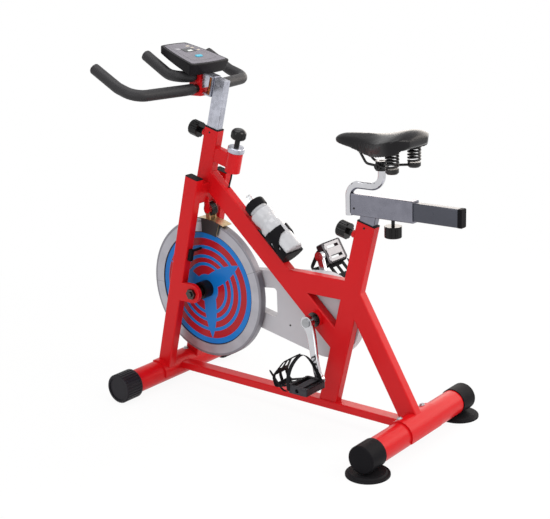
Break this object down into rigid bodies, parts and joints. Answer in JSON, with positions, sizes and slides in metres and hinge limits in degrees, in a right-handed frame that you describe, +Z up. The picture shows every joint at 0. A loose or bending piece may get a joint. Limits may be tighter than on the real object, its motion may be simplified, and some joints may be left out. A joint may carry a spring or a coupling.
{
  "type": "indoor cycling bike",
  "caption": "Indoor cycling bike with welded rectangular tubes, a heavy flywheel on a chain drive, a rim brake, and sliding posts for the saddle and handlebar",
  "frame": {"origin": "bottom centre of the bounding box, on the floor", "axes": "+X points forward along the bike, +Y to the rider's left across it, +Z up"},
  "size_m": [1.122, 0.594, 1.0826],
  "materials": {
    "red_paint": "gloss red powder coat",
    "black_plastic": "moulded black plastic",
    "grey_plastic": "silver-grey painted plastic",
    "chain_steel": "oiled steel",
    "bearing_steel": "turned steel",
    "black_steel": "black coated steel",
    "black_rubber": "soft black rubber",
    "polished_steel": "polished rim",
    "blue_paint": "blue enamel with red bands",
    "chrome": "chrome plate",
    "zinc": "zinc plate",
    "foam": "closed-cell foam sleeve",
    "dark_plastic": "dark grey plastic",
    "panel_plastic": "printed panel",
    "button_plastic": "blue-green key",
    "yellow_zinc": "yellow zinc plate",
    "slider_paint": "dark blue-grey paint",
    "saddle_skin": "soft black vinyl",
    "bottle_plastic": "translucent squeeze plastic"
  },
  "bodies": {
    "frame": {"front_stabiliser": "red_paint", "rear_stabiliser": "red_paint", "base_rail": "red_paint", "fork_blade_left": "red_paint", "fork_blade_right": "red_paint", "head_tube": "red_paint", "down_tube": "red_paint", "top_brace": "red_paint", "seat_tube": "red_paint", "rear_stay": "red_paint", "hub_bearings": "bearing_steel", "flywheel_axle": "bearing_steel", "tube_plugs": "black_plastic", "rear_end_caps": "black_plastic", "chain_guard_inner": "grey_plastic", "chain_guard_outer": "grey_plastic", "chain": "chain_steel", "brake_housing": "red_paint", "brake_hanger": "black_steel", "brake_cable": "black_rubber", "speed_sensor": "black_plastic", "bottle_cage": "black_plastic"},
    "flywheel": {"flywheel_casting": "polished_steel", "flywheel_faces": "blue_paint", "flywheel_hub": "black_steel"},
    "crankset": {"crank_axle": "bearing_steel", "chainring": "chain_steel", "crank_arm_left": "chrome", "crank_arm_right": "chrome"},
    "left_pedal": {"pedal_left": "black_plastic", "toe_cage_left": "black_plastic"},
    "right_pedal": {"pedal_right": "black_plastic", "toe_cage_right": "black_plastic"},
    "handlebars": {"handlebar_post": "zinc", "handlebar_clamp": "zinc", "handlebar": "foam", "inner_bars": "foam", "console_case": "dark_plastic", "console_panel": "panel_plastic"},
    "button": {"console_button": "button_plastic"},
    "head_screw": {"head_knob": "black_plastic"},
    "seat_screw": {"seat_knob": "black_plastic"},
    "slide_screw": {"slide_knob": "black_plastic"},
    "tension_knob": {"resistance_knob": "black_plastic"},
    "yoke": {"brake_yoke": "yellow_zinc"},
    "seat_mast": {"seat_post": "zinc"},
    "slide": {"seat_slider": "slider_paint", "slider_cap": "black_plastic", "saddle_tube": "chrome", "saddle_clamp": "black_steel"},
    "saddle": {"saddle_rails": "black_steel", "saddle_springs": "black_steel", "saddle_base": "black_plastic", "saddle_cushion": "saddle_skin"},
    "drink": {"bottle": "bottle_plastic", "bottle_cap": "black_plastic"},
    "left_foot": {"foot_left": "black_rubber"},
    "right_foot": {"foot_right": "black_rubber"},
    "left_roller": {"roller_left": "black_plastic"},
    "right_roller": {"roller_right": "black_plastic"}
  },
  "joints": [
    {"name": "flywheel_spin", "type": "hinge", "parent": "frame", "child": "flywheel", "pos_m": [0.341, 0, 0.332], "axis": [0, 1, 0], "continuous": true},
    {"name": "crank_spin", "type": "hinge", "parent": "frame", "child": "crankset", "pos_m": [-0.089, 0, 0.314], "axis": [0, 1, 0], "continuous": true},
    {"name": "left_pedal_spin", "type": "hinge", "parent": "crankset", "child": "left_pedal", "pos_m": [-0.14543, 0.14, 0.15895], "axis": [0, 1, 0], "continuous": true},
    {"name": "right_pedal_spin", "type": "hinge", "parent": "crankset", "child": "right_pedal", "pos_m": [-0.03257, -0.14, 0.46905], "axis": [0, 1, 0], "continuous": true},
    {"name": "handlebar_height", "type": "slide", "parent": "frame", "child": "handlebars", "axis": [-0.2672, 0, 0.9636], "range_m": [-0.05, 0.08]},
    {"name": "console_key", "type": "slide", "parent": "handlebars", "child": "button", "axis": [0.3074, 0, -0.9516], "range_m": [0, 0.0012], "stiffness_N_per_m": 300},
    {"name": "head_screw_turn", "type": "hinge", "parent": "frame", "child": "head_screw", "pos_m": [0.29341, 0, 0.81487], "axis": [0.9636, 0, 0.2672], "range_deg": [0, 720]},
    {"name": "seat_screw_turn", "type": "hinge", "parent": "frame", "child": "seat_screw", "pos_m": [-0.25198, 0, 0.57147], "axis": [0.9681, 0, 0.2504], "range_deg": [0, 720]},
    {"name": "slide_screw_turn", "type": "hinge", "parent": "seat_mast", "child": "slide_screw", "pos_m": [-0.344, 0, 0.62], "axis": [0, 0, -1], "range_deg": [0, 720]},
    {"name": "tension_turn", "type": "hinge", "parent": "frame", "child": "tension_knob", "pos_m": [0.20764, 0, 0.77241], "axis": [-0.2672, 0, 0.9636], "range_deg": [0, 720]},
    {"name": "brake_swing", "type": "hinge", "parent": "frame", "child": "yoke", "pos_m": [0.318, 0, 0.588], "axis": [0, -1, 0], "range_deg": [0, 1.2]},
    {"name": "seat_height", "type": "slide", "parent": "frame", "child": "seat_mast", "axis": [-0.2504, 0, 0.9681], "range_m": [0, 0.14]},
    {"name": "saddle_fore_aft", "type": "slide", "parent": "seat_mast", "child": "slide", "axis": [1, 0, 0], "range_m": [0, 0.1]},
    {"name": "saddle_tilt", "type": "hinge", "parent": "slide", "child": "saddle", "pos_m": [-0.309, 0, 0.783], "axis": [0, 1, 0], "range_deg": [-8, 8]},
    {"name": "bottle_lift", "type": "slide", "parent": "frame", "child": "drink", "axis": [0.7361, 0, 0.6769], "range_m": [0, 0.05]},
    {"name": "left_foot_screw", "type": "slide", "parent": "frame", "child": "left_foot", "axis": [0, 0, -1], "range_m": [0, 0.01]},
    {"name": "right_foot_screw", "type": "slide", "parent": "frame", "child": "right_foot", "axis": [0, 0, -1], "range_m": [0, 0.01]},
    {"name": "left_roller_spin", "type": "hinge", "parent": "frame", "child": "left_roller", "pos_m": [0.497, 0.238, 0.046], "axis": [0, 1, 0], "continuous": true},
    {"name": "right_roller_spin", "type": "hinge", "parent": "frame", "child": "right_roller", "pos_m": [0.497, -0.238, 0.046], "axis": [0, 1, 0], "continuous": true}
  ],
  "couplings": [
    {"joint": "crank_spin", "follows": "flywheel_spin", "ratio": 0.34615},
    {"joint": "brake_swing", "follows": "tension_turn", "ratio": 0.0016667}
  ]
}
